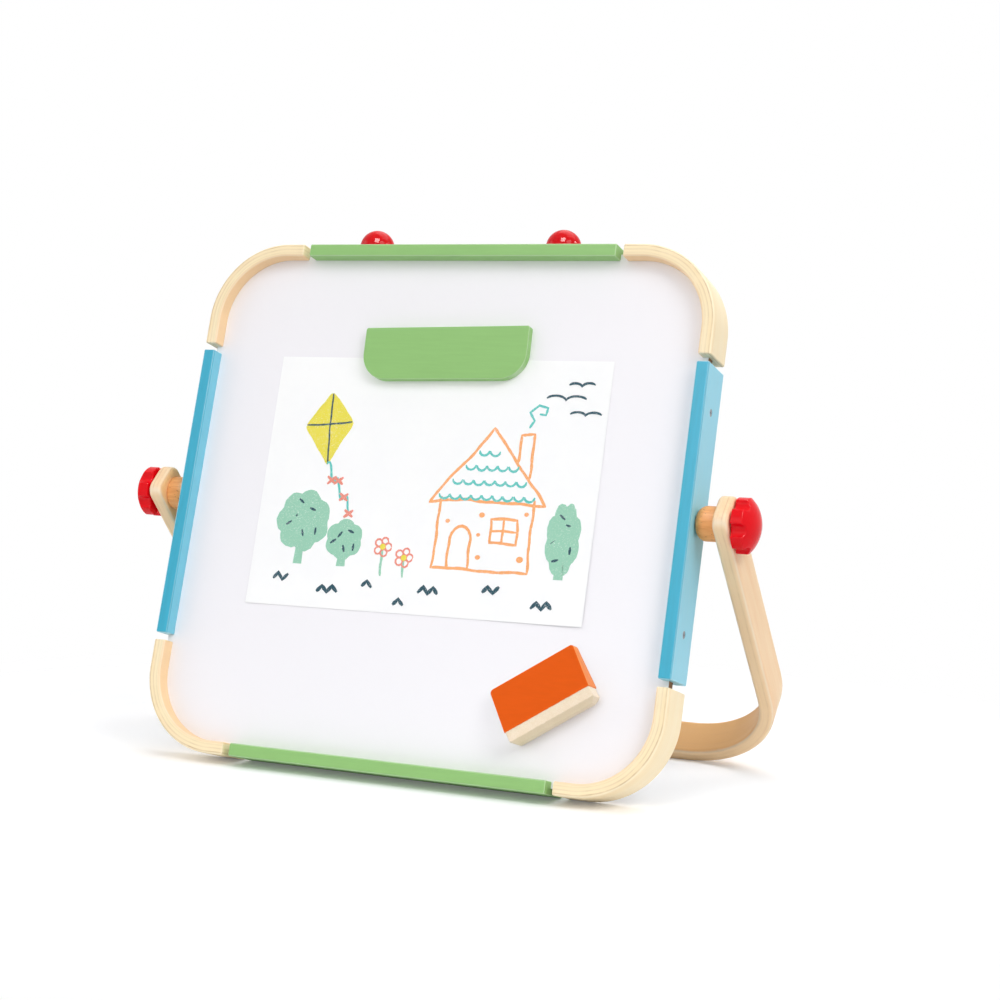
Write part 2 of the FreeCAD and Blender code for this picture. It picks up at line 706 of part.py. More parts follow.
# The eraser's block is a wedge, thin at its top edge, with felt under its thick edge
block_half = "eraser_length / 2"
block_top = "eraser_width / 2"
block = new_body("eraser_block", face_frame("eraser"))
wedge = new_sketch(block, "wedge_section", "YZ_Plane")
draw(wedge, [
    ("-eraser_seat", f"-{block_top}"),
    ("-eraser_seat", block_top),
    ("-(eraser_seat + eraser_top_thickness)", block_top),
    ("-(eraser_seat + eraser_thickness)", f"-{block_top}"),
])
pad(block, wedge, "eraser_length", SideType="Symmetric")
top_edge = number(block_top)
thin_front = -number("eraser_seat + eraser_top_thickness")
thick_front = -number("eraser_seat + eraser_thickness")
soften(block, "eraser_corner_radius", lambda edge, shape: runs_along(edge, "Y")
       and spans(edge, "Z", top_edge, top_edge))
soften(block, "eraser_edge_radius", lambda edge, shape: spans(edge, "Y", thick_front, thin_front)
       and not spans(edge, "Z", -top_edge, -top_edge))
sink_magnets(block, "eraser", ["0"])
magnet("eraser", "0", face_frame("eraser"), "eraser_magnet")

felt = new_body("eraser_felt", face_frame("eraser"))
felt_outline = new_sketch(felt, "felt_outline", "XZ_Plane", "eraser_seat + felt_inset")
felt_half = f"({block_half} - felt_inset)"
felt_foot = f"-({block_top} + felt_height)"
draw(felt_outline, [(f"-{felt_half}", felt_foot), (felt_half, felt_foot),
                    (felt_half, f"-{block_top}"), (f"-{felt_half}", f"-{block_top}")])
pad(felt, felt_outline, "eraser_thickness - 2 * felt_inset")
felt_low = number(felt_foot)
soften(felt, "felt_chamfer", lambda edge, shape: spans(edge, "Z", felt_low, felt_low), "Chamfer", "Size")


# Checks and files

doc.recompute()
for part in doc.Objects:
    if {"Invalid", "Error"} & set(part.State):
        raise RuntimeError(f"{part.Label} failed: {part.State}")
os.makedirs("parts", exist_ok=True)
for part in subparts:
    if part.Shape.isNull() or not part.Shape.isValid():
        raise RuntimeError(f"{part.Label} has no valid shape")
for part in subparts:
    part.Shape.exportStep(f"parts/{part.Label}.step")
    print(part.Label, len(part.Shape.Solids), round(part.Shape.Volume))
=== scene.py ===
import json
import math
import random

import bmesh
import bpy
from mathutils import Matrix, Vector, noise


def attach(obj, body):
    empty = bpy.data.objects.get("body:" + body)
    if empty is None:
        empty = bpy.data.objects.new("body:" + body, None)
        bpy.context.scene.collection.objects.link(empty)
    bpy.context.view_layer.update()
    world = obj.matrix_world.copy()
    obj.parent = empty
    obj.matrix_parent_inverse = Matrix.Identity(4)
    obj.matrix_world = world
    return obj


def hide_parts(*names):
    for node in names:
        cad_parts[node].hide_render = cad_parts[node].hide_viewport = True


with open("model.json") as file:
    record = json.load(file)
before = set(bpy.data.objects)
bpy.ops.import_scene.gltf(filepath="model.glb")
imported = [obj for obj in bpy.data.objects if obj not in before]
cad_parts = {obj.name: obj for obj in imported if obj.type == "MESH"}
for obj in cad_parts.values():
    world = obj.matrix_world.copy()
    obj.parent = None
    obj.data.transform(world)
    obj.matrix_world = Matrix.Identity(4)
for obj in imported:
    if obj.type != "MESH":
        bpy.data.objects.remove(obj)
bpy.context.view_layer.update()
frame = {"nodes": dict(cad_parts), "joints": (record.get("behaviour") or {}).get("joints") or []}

MM = 0.001
JOINTS = {joint["name"]: joint for joint in frame["joints"]}

# Frame of the leaning board, from the joints' pivot axis and way out of the face, and the stand's lean
PIVOT = Vector(JOINTS["stand_swing"]["pos_m"])
FACE_OUT = Vector(JOINTS["clip_pull"]["axis"])
LEAN = math.asin(FACE_OUT.z)
LEG_LEAN = math.radians(43.0718)
BOARD = Matrix.Translation(PIVOT) @ Matrix.Rotation(-LEAN, 4, "X")

# Sizes of the edging and of the stand's strip
BOARD_WIDTH = 450 * MM
BOARD_HEIGHT = 431.5 * MM
CORNER_RADIUS = 66 * MM
EDGING_THICKNESS = 10.5 * MM
LEG_LENGTH = 278 * MM
STRIP_THICKNESS = 13 * MM
ARM_OUTER = 255 * MM
OUTER_BEND = 90 * MM

# Depths in from the outer face and strengths of the glue lines that show on the narrow edges
CORNER_GLUE = ((1.7 * MM, 0.8), (4.8 * MM, 0.4), (7.6 * MM, 0.25))
STAND_GLUE = ((1.8 * MM, 0.3), (4.6 * MM, 0.6), (8.4 * MM, 0.25), (11.8 * MM, 0.6))

# Sheet of paper: its frame on the board's front, and its sizes
FRONT_FACE = 7.25 * MM
PAPER_WIDTH = 297 * MM
PAPER_HEIGHT = 210 * MM
PAPER_THICKNESS = 0.2 * MM
PAPER_SPOT = Vector((-3.6 * MM, -FRONT_FACE, 16.45 * MM))
PAPER_TURN = math.radians(-0.45)
PAPER = BOARD @ Matrix.Translation(PAPER_SPOT) @ Matrix.Rotation(PAPER_TURN, 4, "Y")


def tint(red, green, blue):
    """A colour as it reads on a screen, 0 to 255, in the linear values that a shader takes."""
    shares = [value / 255 for value in (red, green, blue)]
    linear = [share / 12.92 if share <= 0.04045 else ((share + 0.055) / 1.055) ** 2.4 for share in shares]
    return (*linear, 1.0)


def shade(colour, factor):
    return (*(min(1.0, channel * factor) for channel in colour[:3]), 1.0)


# Node building

class Shader:
    """A material and short calls for its nodes. Inputs are sockets, which are linked, or plain values."""

    def __init__(self, name, **principled):
        self.material = bpy.data.materials.new(name)
        self.material.use_nodes = True
        self.tree = self.material.node_tree
        self.surface = self.tree.nodes["Principled BSDF"]
        for socket, value in principled.items():
            self.put(self.surface.inputs[socket.replace("_", " ")], value)

    def put(self, socket, value):
        if isinstance(value, bpy.types.NodeSocket):
            self.tree.links.new(value, socket)
        else:
            socket.default_value = value

    def node(self, kind, values=None, **settings):
        made = self.tree.nodes.new("ShaderNode" + kind)
        for name, value in settings.items():
            setattr(made, name, value)
        for name, value in (values or {}).items():
            self.put(made.inputs[name], value)
        return made

    def maths(self, operation, first, second=0.0):
        return self.node("Math", {0: first, 1: second}, operation=operation).outputs[0]

    def local(self):
        return self.node("TexCoord").outputs["Object"]

    def placed(self, vector, spot, turn):
        """The vector seen from a frame at a spot, with a turn about X."""
        values = {"Vector": vector, "Location": spot, "Rotation": (turn, 0, 0)}
        return self.node("Mapping", values, vector_type="TEXTURE").outputs[0]

    def edge(self, turn, bent=False):
        """How far the surface's normal is from every axis of a frame with a turn about X: 0 on flat faces.
        Faces of a bent strip are flat across its width (Y) and face any way round it."""
        normal = self.placed(self.node("TexCoord").outputs["Normal"], (0, 0, 0), turn)
        parts = self.node("SeparateXYZ", {0: normal}).outputs
        x, y, z = (self.maths("ABSOLUTE", part) for part in parts)
        if bent:
            squares = self.maths("ADD", self.maths("POWER", x, 2.0), self.maths("POWER", z, 2.0))
            around = self.maths("SQRT", squares)
        else:
            around = self.maths("MAXIMUM", x, z)
        return self.maths("SUBTRACT", 1.0, self.maths("MAXIMUM", around, y))

    def scaled(self, vector, scale):
        return self.node("Mapping", {"Vector": vector, "Scale": scale}).outputs[0]

    def noise(self, vector, scale, detail=3.0, roughness=0.55, distortion=0.0):
        values = {"Vector": vector, "Scale": scale, "Detail": detail, "Roughness": roughness,
                  "Distortion": distortion}
        return self.node("TexNoise", values).outputs["Fac"]

    def remap(self, value, low, high, start=0.0, end=1.0):
        values = {"Value": value, "From Min": low, "From Max": high, "To Min": start, "To Max": end}
        return self.node("MapRange", values).outputs[0]

    def mix(self, factor, first, second):
        made = self.node("Mix", data_type="RGBA")
        self.put(made.inputs[0], factor)
        self.put(made.inputs[6], first)
        self.put(made.inputs[7], second)
        return made.outputs[2]

    def colour(self, value):
        self.put(self.surface.inputs["Base Color"], value)

    def rough(self, value):
        self.put(self.surface.inputs["Roughness"], value)

    def bump(self, height, strength, distance):
        values = {"Height": height, "Strength": strength, "Distance": distance}
        self.put(self.surface.inputs["Normal"], self.node("Bump", values).outputs[0])


# Materials

# Pale tones painted in as light: the blue paint's painted sheen, painted light on the birch's narrow faces
# and a painted highlight on its rounded edges
PAINTED_SHEEN = tint(185, 240, 255)
NARROW_FACE_LIGHT = tint(255, 224, 180)
ROUNDED_EDGE_HIGHLIGHT = tint(255, 246, 226)

# Scale of the painted grain along the wood, against 1 across it, and a glue line's share of the dark tone
GRAIN_ALONG = 0.06
GLUE_SHADE = 0.72


def painted_wood(name, colour, along, gloss, streak=0.04, sheen=0.0, edges=0.25, highlight_tone=tint(252, 252, 246)):
    """Satin paint over wood: faint streaks along the grain, which also show in the gloss, a painted highlight
    that pales the edges, and a painted sheen that pales the colour on faces that turn away from the viewer."""
    made = Shader(name, Specular_IOR_Level=gloss)
    local = made.placed(made.local(), PIVOT, -LEAN)
    stretch = [1.0 if axis != along else GRAIN_ALONG for axis in "XYZ"]
    grain = made.noise(made.scaled(local, stretch), 420.0, 5.0, 0.6)
    patches = made.noise(local, 14.0, 2.0)
    dark, light = shade(colour, 1 - streak), shade(colour, 1 + 0.7 * streak)
    streaks = made.mix(made.remap(grain, 0.3, 0.7), dark, light)
    paint = made.mix(made.remap(patches, 0.35, 0.65, 0.0, 0.35), streaks, shade(colour, 1.06))
    # Painted sheen: the colour turns towards a pale blue on faces that turn away from the viewer, standing in
    # for light from the side
    turned = made.node("LayerWeight", {"Blend": 0.5}).outputs["Facing"]
    paint = made.mix(made.remap(turned, 0.25, 0.6, 0.0, sheen), paint, PAINTED_SHEEN)
    # Painted highlight: edges, and on the turned eraser its whole side faces, turn towards a pale tone
    made.colour(made.mix(made.remap(made.edge(-LEAN), 0.04, 0.22, 0.0, edges), paint, highlight_tone))
    made.rough(made.remap(grain, 0.25, 0.75, 0.35, 0.47))
    made.bump(grain, 0.06, 0.12 * MM)
    return made.material


def bent_strip(name, tones, spot, turn, centre_x, centre_z, radius, mirrored, thickness, glue_lines,
               narrow_light=0.0):
    """Clear birch bent round a corner. Distances along the bend and in from the outer face follow the strip,
    so the grain runs along it and the plies show on its narrow edges."""
    made = Shader(name, Specular_IOR_Level=0.12)
    local = made.placed(made.local(), spot, turn)
    parts = made.node("SeparateXYZ", {0: local}).outputs
    x = made.maths("ABSOLUTE", parts[0])
    z = made.maths("ABSOLUTE", parts[2]) if mirrored else made.maths("MULTIPLY", parts[2], -1.0)
    over_x = made.maths("MAXIMUM", made.maths("SUBTRACT", x, centre_x), 0.0)
    over_z = made.maths("MAXIMUM", made.maths("SUBTRACT", z, centre_z), 0.0)
    squares = made.maths("ADD", made.maths("POWER", over_x, 2.0), made.maths("POWER", over_z, 2.0))
    depth = made.maths("SUBTRACT", radius, made.maths("SQRT", squares))
    bend = made.maths("MULTIPLY", made.maths("ARCTAN2", over_z, over_x), radius)
    straight = made.maths("SUBTRACT", made.maths("MINIMUM", z, centre_z), made.maths("MINIMUM", x, centre_x))
    along = made.maths("ADD", bend, straight)
    strip = made.node("CombineXYZ", {0: along, 1: parts[1], 2: depth}).outputs[0]

    grain = made.noise(made.scaled(strip, (0.05, 1.0, 0.5)), 360.0, 6.0, 0.62, 0.4)
    bands = made.noise(made.scaled(strip, (0.10, 1.0, 1.0)), 55.0, 3.0, 0.5, 0.8)
    pale, warm, dark, inner_shade = tones
    wood = made.mix(made.remap(bands, 0.35, 0.68), pale, warm)
    # Painted shade: the last ply on the inner face turns darker and warmer, as if in shade
    wood = made.mix(made.remap(depth, thickness - 2.0 * MM, thickness - 0.6 * MM, 0.0, 0.85), wood, inner_shade)
    wood = made.mix(made.remap(grain, 0.52, 0.75, 0.0, 0.3), wood, dark)
    slow = made.noise(made.scaled(strip, (1.0, 0.2, 0.2)), 30.0, 2.0)
    wander = made.remap(slow, 0.3, 0.7, -0.3 * MM, 0.3 * MM)
    level = made.maths("ADD", depth, wander)
    broken = made.remap(made.noise(made.scaled(strip, (1.0, 0.1, 0.1)), 70.0, 2.0), 0.35, 0.6, 0.35, 1.0)
    for spot_in, strength in glue_lines:
        off = made.maths("ABSOLUTE", made.maths("SUBTRACT", level, spot_in))
        line = made.maths("MULTIPLY", made.remap(off, 0.1 * MM, 0.8 * MM, strength, 0.0), broken)
        wood = made.mix(line, wood, shade(dark, GLUE_SHADE))
    # Painted light: the narrow faces turn paler, in place of light from low in front
    normal = made.placed(made.node("TexCoord").outputs["Normal"], (0, 0, 0), turn)
    across = made.maths("ABSOLUTE", made.node("SeparateXYZ", {0: normal}).outputs[1])
    wood = made.mix(made.remap(across, 0.6, 0.9, 0.0, narrow_light), wood, NARROW_FACE_LIGHT)
    # Painted highlight: the rounded edges turn a pale cream
    rounded = made.remap(made.edge(turn, bent=True), 0.05, 0.25, 0.0, 0.4)
    made.colour(made.mix(rounded, wood, ROUNDED_EDGE_HIGHLIGHT))
    made.rough(made.remap(grain, 0.3, 0.7, 0.36, 0.5))
    made.bump(grain, 0.15, 0.12 * MM)
    return made.material


def dowel_wood(name):
    """Turned beech under clear lacquer: grain along the pivot axis and short dark flecks."""
    made = Shader(name, Specular_IOR_Level=0.4)
    local = made.local()
    grain = made.noise(made.scaled(local, (0.08, 1.0, 1.0)), 520.0, 5.0, 0.6, 0.3)
    flecks = made.noise(made.scaled(local, (0.3, 1.0, 1.0)), 900.0, 1.0)
    wood = made.mix(made.remap(grain, 0.35, 0.7), tint(249, 178, 107), tint(224, 146, 78))
    made.colour(made.mix(made.remap(flecks, 0.68, 0.74, 0.0, 0.6), wood, tint(128, 72, 34)))
    made.rough(made.remap(grain, 0.3, 0.7, 0.42, 0.55))
    made.bump(grain, 0.2, 0.12 * MM)
    return made.material


def gloss_red(name, colour, roughness):
    """Glossy red with a trace of orange peel."""
    made = Shader(name, Specular_IOR_Level=0.03, Coat_Weight=0.25, Coat_Roughness=roughness)
    local = made.local()
    peel = made.noise(local, 260.0, 2.0)
    patches = made.noise(local, 40.0, 2.0)
    made.colour(made.mix(made.remap(patches, 0.35, 0.65), colour, shade(colour, 1.06)))
    made.rough(made.remap(peel, 0.3, 0.7, roughness - 0.04, roughness + 0.04))
    made.bump(peel, 0.05, 0.1 * MM)
    return made.material


def enamel_white(name):
    """White dry-wipe enamel: almost even, with the faintest haze of wiped marker."""
    made = Shader(name, Specular_IOR_Level=0.4)
    local = made.placed(made.local(), PIVOT, -LEAN)
    haze = made.noise(made.scaled(local, (1.0, 1.0, 0.6)), 5.0, 3.0)
    fine = made.noise(local, 600.0, 2.0)
    made.colour(made.mix(made.remap(haze, 0.2, 0.8), tint(246, 244, 248), tint(245, 243, 247)))
    made.rough(made.remap(haze, 0.2, 0.8, 0.25, 0.28))
    made.bump(fine, 0.02, 0.05 * MM)
    return made.material


def chalk_black(name):
    """Matt chalkboard paint with old chalk wiped into it."""
    made = Shader(name, Specular_IOR_Level=0.25)
    local = made.placed(made.local(), PIVOT, -LEAN)
    wipes = made.noise(made.scaled(local, (0.45, 1.0, 1.5)), 11.0, 6.0, 0.6, 0.25)
    tooth = made.noise(local, 900.0, 3.0, 0.7)
    smears = made.remap(wipes, 0.4, 0.8, 0.0, 0.4)
    dust = made.maths("MULTIPLY", smears, made.remap(tooth, 0.35, 0.65, 0.5, 1.0))
    made.colour(made.mix(dust, tint(44, 48, 48), tint(120, 124, 122)))
    made.rough(made.remap(tooth, 0.3, 0.7, 0.78, 0.92))
    made.bump(tooth, 0.25, 0.08 * MM)
    return made.material


def fibreboard(name):
    made = Shader(name, Specular_IOR_Level=0.25)
    fibre = made.noise(made.local(), 1500.0, 4.0, 0.7)
    made.colour(made.mix(made.remap(fibre, 0.3, 0.7), tint(138, 96, 66), tint(176, 132, 96)))
    made.rough(made.remap(fibre, 0.3, 0.7, 0.75, 0.9))
    made.bump(fibre, 0.4, 0.15 * MM)
    return made.material


def drawing_paper(name):
    made = Shader(name, Specular_IOR_Level=0.2)
    local = made.local()
    fibre = made.noise(local, 1300.0, 4.0, 0.65)
    cloud = made.noise(local, 30.0, 3.0)
    made.colour(made.mix(made.remap(cloud, 0.35, 0.65), tint(254, 254, 254), tint(251, 251, 252)))
    made.rough(made.remap(fibre, 0.3, 0.7, 0.8, 0.92))
    made.bump(fibre, 0.12, 0.04 * MM)
    return made.material


def crayon(name, colour):
    """Wax crayon: colour broken by the tooth of the paper."""
    made = Shader(name, Specular_IOR_Level=0.3)
    local = made.local()
    tooth = made.noise(local, 1100.0, 4.0, 0.7)
    pressure = made.noise(local, 60.0, 2.0)
    light_hand = made.remap(pressure, 0.35, 0.65, 0.3, 1.0)
    bare = made.maths("MULTIPLY", made.remap(tooth, 0.55, 0.7, 0.0, 0.8), light_hand)
    made.colour(made.mix(bare, colour, tint(252, 252, 252)))
    made.rough(made.remap(tooth, 0.3, 0.7, 0.55, 0.75))
    made.bump(tooth, 0.2, 0.05 * MM)
    return made.material


# Way from the eraser's block to the foot of its felt; felt faces turned this way get painted shade
ERASER_TURN = math.radians(33.8)
FELT_FOOT = BOARD.to_3x3() @ Vector((math.sin(ERASER_TURN), 0, -math.cos(ERASER_TURN)))


def felt_cloth(name):
    """Cream wool, with painted shade that makes the face that wipes greyer and darker."""
    made = Shader(name, Specular_IOR_Level=0.15, Sheen_Weight=0.35, Sheen_Roughness=0.6)
    local = made.local()
    hair = made.noise(local, 900.0, 6.0, 0.75, 1.5)
    clumps = made.noise(local, 160.0, 3.0)
    wool = made.mix(made.remap(hair, 0.3, 0.7), tint(236, 213, 180), tint(252, 237, 218))
    wool = made.mix(made.remap(clumps, 0.4, 0.7, 0.0, 0.25), wool, tint(228, 204, 164))
    # Painted shade: faces turned towards the felt's foot are darkened
    normal = made.node("TexCoord").outputs["Normal"]
    facing = made.node("VectorMath", {0: normal, 1: FELT_FOOT}, operation="DOT_PRODUCT").outputs["Value"]
    made.colour(made.mix(made.remap(facing, 0.3, 0.6, 0.0, 0.6), wool, tint(206, 190, 158)))
    made.rough(made.remap(hair, 0.3, 0.7, 0.85, 0.97))
    made.bump(hair, 0.6, 0.3 * MM)
    return made.material


def plated_metal(name, colour, roughness):
    made = Shader(name, Metallic=1.0)
    local = made.local()
    brush = made.noise(made.scaled(local, (0.2, 1.0, 1.0)), 1500.0, 3.0)
    made.colour(made.mix(made.remap(brush, 0.3, 0.7), shade(colour, 0.9), shade(colour, 1.08)))
    made.rough(made.remap(brush, 0.3, 0.7, roughness - 0.06, roughness + 0.08))
    made.bump(brush, 0.05, 0.03 * MM)
    return made.material


GREEN = tint(143, 191, 115)
BLUE = tint(38, 166, 196)
ORANGE = tint(226, 90, 15)
# The last tone of each birch is painted shade for its inner face
PALE_BIRCH = (tint(253, 237, 203), tint(251, 230, 189), tint(240, 206, 156), tint(244, 206, 160))
WARM_BIRCH = (tint(250, 220, 182), tint(245, 207, 164), tint(232, 182, 135), tint(253, 196, 131))

corner_wood = bent_strip("birch_corner", PALE_BIRCH, PIVOT, -LEAN, BOARD_WIDTH / 2 - CORNER_RADIUS,
                         BOARD_HEIGHT / 2 - CORNER_RADIUS, CORNER_RADIUS, True, EDGING_THICKNESS, CORNER_GLUE)
stand_wood = bent_strip("birch_stand", WARM_BIRCH, PIVOT, LEG_LEAN, ARM_OUTER - OUTER_BEND,
                        LEG_LENGTH - OUTER_BEND, OUTER_BEND, False, STRIP_THICKNESS, STAND_GLUE,
                        narrow_light=0.6)
red_knob = gloss_red("red_moulded", tint(228, 4, 20), 0.08)
red_ball = gloss_red("red_lacquer", tint(208, 2, 12), 0.06)
steel = plated_metal("zinc_steel", tint(168, 169, 172), 0.42)
green_rails = painted_wood("green_paint_rails", GREEN, "X", 0.3)
blue_rails = painted_wood("blue_paint_rails", BLUE, "Z", 0.5, streak=0.08, sheen=0.55, edges=0.15)
beech = dowel_wood("beech_dowel")
brass = plated_metal("brass_insert", tint(214, 176, 96), 0.3)
magnet = plated_metal("nickel_magnet", tint(170, 171, 174), 0.25)

FINISHES = {
    "core_panel": fibreboard("fibreboard_edge"),
    "whiteboard_sheet": enamel_white("dry_wipe_enamel"),
    "chalkboard_sheet": chalk_black("chalkboard_paint"),
    "top_rail": green_rails,
    "bottom_rail": green_rails,
    "left_rail": blue_rails,
    "right_rail": blue_rails,
    "corner_top_left": corner_wood,
    "corner_top_right": corner_wood,
    "corner_bottom_left": corner_wood,
    "corner_bottom_right": corner_wood,
    "side_rail_screws": steel,
    "left_ball": red_ball,
    "right_ball": red_ball,
    "left_pivot_spacer": beech,
    "right_pivot_spacer": beech,
    "left_threaded_insert": brass,
    "right_threaded_insert": brass,
    "stand_bow": stand_wood,
    "left_knob": red_knob,
    "right_knob": red_knob,
    "left_clamp_bolt": steel,
    "right_clamp_bolt": steel,
    "clip_plate": painted_wood("green_paint_clip", GREEN, "X", 0.25),
    "clip_magnets": magnet,
    # Painted light: the eraser's sides and edges turn a lighter orange, as if lit
    "eraser_block": painted_wood("orange_paint", ORANGE, "X", 0.06, edges=0.5, highlight_tone=tint(255, 186, 104)),
    "eraser_magnet": magnet,
}
for node, material in FINISHES.items():
    piece = frame["nodes"][node]
    piece.data.materials.clear()
    piece.data.materials.append(material)


# Sheet of paper, hung from the clip, its free edges standing a little off the board

def new_piece(name, vertices, faces, material, body):
    mesh = bpy.data.meshes.new(name)
    mesh.from_pydata(vertices, [], faces)
    mesh.materials.append(material)
    piece = bpy.data.objects.new(name, mesh)
    bpy.context.scene.collection.objects.link(piece)
    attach(piece, body)
    return piece


def share(value, start, end):
    return min(1.0, max(0.0, (value - start) / (end - start)))


def lift(x, z):
    """How far the paper stands off the board at a spot on the page, in millimetres from its middle."""
    low = share(z, 60, -105) ** 2
    right = share(x, 30, 148) ** 2
    left = share(x, -70, -148) ** 2
    return 0.35 * right + 0.3 * low + 0.7 * low * right + 0.2 * low * left


def on_page(x, z, height):
    """A spot on the page, raised off the paper's back by a height, all in millimetres."""
    return PAPER @ (Vector((x, -lift(x, z) - height, z)) * MM)


# Cells of the page, and the gap behind it in millimetres
PAGE_COLUMNS = 54
PAGE_ROWS = 38
PAPER_GAP = 0.02


def hung_paper():
    half_width = PAPER_WIDTH / MM / 2
    half_height = PAPER_HEIGHT / MM / 2
    thickness = PAPER_THICKNESS / MM
    across = [half_width * (2 * column / PAGE_COLUMNS - 1) for column in range(PAGE_COLUMNS + 1)]
    up = [half_height * (2 * row / PAGE_ROWS - 1) for row in range(PAGE_ROWS + 1)]
    vertices = [on_page(x, z, height) for height in (PAPER_GAP, thickness) for z in up for x in across]
    step = PAGE_COLUMNS + 1
    back = len(vertices) // 2
    faces = []
    for row in range(PAGE_ROWS):
        for column in range(PAGE_COLUMNS):
            corner = row * step + column
            cell = (corner, corner + 1, corner + step + 1, corner + step)
            faces.append(cell[::-1])
            faces.append(tuple(index + back for index in cell))
    rim = list(range(step))
    rim += [row * step + PAGE_COLUMNS for row in range(1, PAGE_ROWS + 1)]
    rim += [PAGE_ROWS * step + column for column in range(PAGE_COLUMNS - 1, -1, -1)]
    rim += [row * step for row in range(PAGE_ROWS - 1, 0, -1)]
    for index, here in enumerate(rim):
        after = rim[(index + 1) % len(rim)]
        faces.append((here, after, after + back, here + back))
    piece = new_piece("hung_paper", vertices, faces, drawing_paper("drawing_paper"), "board")
    for face in piece.data.polygons[:2 * PAGE_ROWS * PAGE_COLUMNS]:
        face.use_smooth = True
    cut = {*rim, *(index + back for index in rim)}
    for edge in piece.data.edges:
        edge.use_edge_sharp = cut.issuperset(edge.vertices)
    return piece


paper = hung_paper()
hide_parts("paper_sheet")


# Crayon drawing on the paper: a house with trees, a kite and birds, in page millimetres

# Gap under a mark, its thickness, and how much higher each mark is than the one before
CRAYON_GAP = 0.005
CRAYON_LAYER = 0.03
CRAYON_STEP = 0.0015

# Width of a stroke at its ends and range of its pressure, as shares
STROKE_END = 0.55
STROKE_PRESSURE = (0.82, 1.12)

# Turn from one scattered tick to the next, how far they spread over a crown, and how they tilt
TICK_TURN = 2.4
TICK_SPREAD = 0.38
TICK_TILT = 1.7
chance = random.Random(11)


class Crayon:
    """All the marks of one colour, as thin closed slabs on the paper."""

    marks = 0

    def __init__(self, name, colour):
        self.name = name
        self.colour = colour
        self.vertices = []
        self.faces = []

    def slab(self, rim):
        """The walls of a flat mark inside a rim of page spots that goes round anticlockwise."""
        Crayon.marks += 1
        floor = PAPER_THICKNESS / MM + CRAYON_GAP
        top = floor + CRAYON_LAYER + CRAYON_STEP * Crayon.marks
        first = len(self.vertices)
        count = len(rim)
        self.vertices += [on_page(x, z, height) for height in (floor, top) for x, z in rim]
        for index in range(count):
            after = (index + 1) % count
            self.faces.append((first + index, first + after, first + count + after, first + count + index))
        return first

    def blob(self, rim):
        """A filled patch."""
        first = self.slab(rim)
        count = len(rim)
        self.faces.append(tuple(range(first + count - 1, first - 1, -1)))
        self.faces.append(tuple(range(first + count, first + 2 * count)))

    def line(self, points, width=2.4, wobble=0.5):
        """A stroke through points, with an unsteady hand and uneven pressure."""
        spots = shaken(points, wobble)
        left, right = [], []
        for index, spot in enumerate(spots):
            way = (spots[min(index + 1, len(spots) - 1)] - spots[max(index - 1, 0)]).normalized()
            end = min(index, len(spots) - 1 - index)
            half = width / 2 * (STROKE_END if end == 0 else 1.0) * chance.uniform(*STROKE_PRESSURE)
            side = Vector((-way.y, way.x)) * half
            left.append(spot + side)
            right.append(spot - side)
        count = len(spots)
        first = self.slab([tuple(spot) for spot in right + left[::-1]])
        for base, flip in ((first, True), (first + 2 * count, False)):
            for index in range(count - 1):
                far = base + 2 * count - 1 - index
                cell = (base + index, base + index + 1, far - 1, far)
                self.faces.append(cell[::-1] if flip else cell)

    def finish(self):
        wax = crayon(self.name, self.colour)
        return new_piece(self.name, self.vertices, self.faces, wax, "board")


STROKE_STEP = 2.5


def shaken(points, wobble):
    """The line through points in short steps, with a slow seeded wobble."""
    spots = []
    for start, end in zip(points, points[1:]):
        start, end = Vector(start), Vector(end)
        steps = max(1, round((end - start).length / STROKE_STEP))
        spots += [start.lerp(end, step / steps) for step in range(steps)]
    spots.append(Vector(points[-1]))
    phases = [chance.uniform(0, math.tau) for _ in range(4)]
    moved = []
    for index, spot in enumerate(spots):
        sway_x = math.sin(index * 0.31 + phases[0]) + 0.5 * math.sin(index * 0.83 + phases[1])
        sway_z = math.sin(index * 0.27 + phases[2]) + 0.5 * math.sin(index * 0.71 + phases[3])
        moved.append(spot + Vector((sway_x, sway_z)) * wobble)
    return moved


def oval(x, z, width, height, start=0.0, end=360.0, steps=24):
    angles = [math.radians(start + (end - start) * step / steps) for step in range(steps + 1)]
    return [(x + width / 2 * math.cos(angle), z + height / 2 * math.sin(angle)) for angle in angles]


def lumpy(x, z, width, height, lobes, depth):
    """Rim of a leafy crown."""
    rim = []
    for step in range(lobes * 8):
        angle = math.tau * step / (lobes * 8)
        reach = 1 + depth * abs(math.sin(angle * lobes / 2)) + chance.uniform(-0.02, 0.02)
        rim.append((x + width / 2 * reach * math.cos(angle), z + height / 2 * reach * math.sin(angle)))
    return rim


def ticks(pen, x, z, width, height, count, length, thick):
    """Short marks scattered over a crown."""
    for index in range(count):
        angle = index * TICK_TURN
        reach = TICK_SPREAD * math.sqrt((index + 0.5) / count)
        spot = Vector((x + width * reach * math.cos(angle), z + height * reach * math.sin(angle)))
        tilt = angle * TICK_TILT
        way = Vector((math.cos(tilt), math.sin(tilt))) * length / 2
        pen.line([spot - way, spot + way], thick, 0.1)


orange = Crayon("crayon_orange", tint(247, 170, 104))
teal = Crayon("crayon_teal", tint(92, 196, 190))
mint = Crayon("crayon_mint", tint(150, 204, 178))
navy = Crayon("crayon_navy", tint(24, 72, 86))
yellow = Crayon("crayon_yellow", tint(234, 220, 70))
coral = Crayon("crayon_coral", tint(233, 140, 122))

